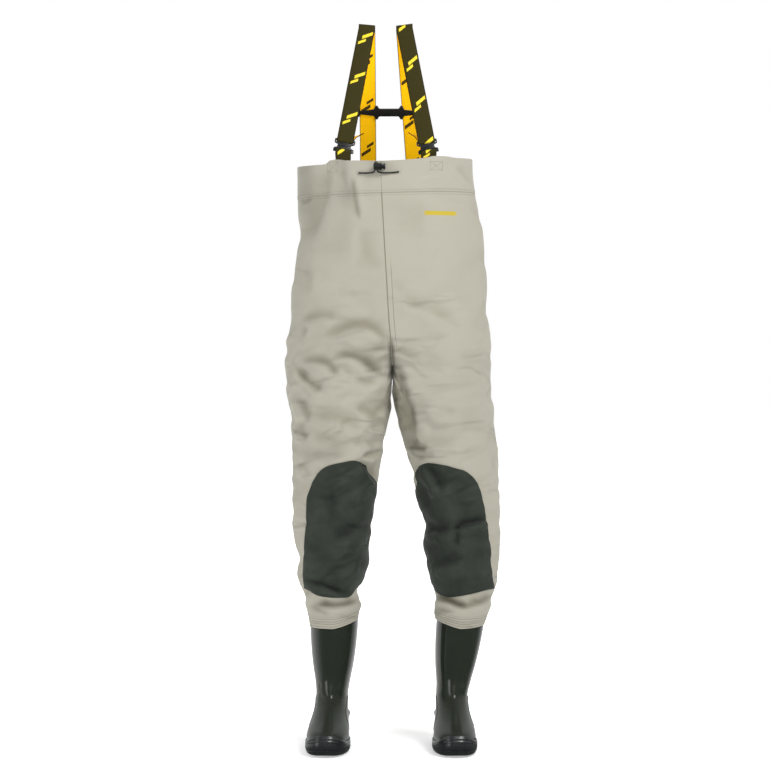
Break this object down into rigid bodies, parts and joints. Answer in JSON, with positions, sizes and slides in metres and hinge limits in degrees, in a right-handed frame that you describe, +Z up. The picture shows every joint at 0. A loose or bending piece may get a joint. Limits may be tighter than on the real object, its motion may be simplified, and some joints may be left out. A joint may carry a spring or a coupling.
{
  "type": "chest waders",
  "caption": "Chest waders standing as worn: hollow coated-fabric bib and legs with arched knee patches, welded rubber boots, webbing braces with quick-release buckles, and a chest drawcord.",
  "frame": {"origin": "middle of the whole outline seen from above, on the floor under the soles", "axes": "+Z up from the soles to the shoulder folds of the braces, -Y towards the toes, +X to the wearer's left"},
  "size_m": [0.492, 0.3498, 1.6554],
  "materials": {
    "nylon": "coated, faint satin",
    "patch": "matt, fine texture",
    "boot": "glossy moulded",
    "sole": "satin moulded",
    "insole": "felt",
    "webbing": "woven",
    "plastic": "satin black",
    "cord": "braided"
  },
  "bodies": {
    "waders": {"anchor_loop_left": "webbing", "anchor_loop_right": "webbing", "body": "nylon", "boot_upper_left": "boot", "boot_upper_right": "boot", "brace_left": "webbing", "brace_link": "plastic", "brace_right": "webbing", "buckle_base_left": "plastic", "buckle_base_right": "plastic", "buckle_top_left": "plastic", "buckle_top_right": "plastic", "cord_lock_barrel": "plastic", "drawcord_left": "cord", "drawcord_right": "cord", "insole_left": "insole", "insole_right": "insole", "knee_patch_left": "patch", "knee_patch_right": "patch", "outsole_left": "sole", "outsole_right": "sole"},
    "lock_button": {"cord_lock_button": "plastic"}
  },
  "joints": [
    {"name": "button_press", "type": "slide", "parent": "waders", "child": "lock_button", "axis": [-1, 0, 0], "range_m": [0, 0.003], "stiffness_N_per_m": 600, "springref_m": -0.004}
  ]
}
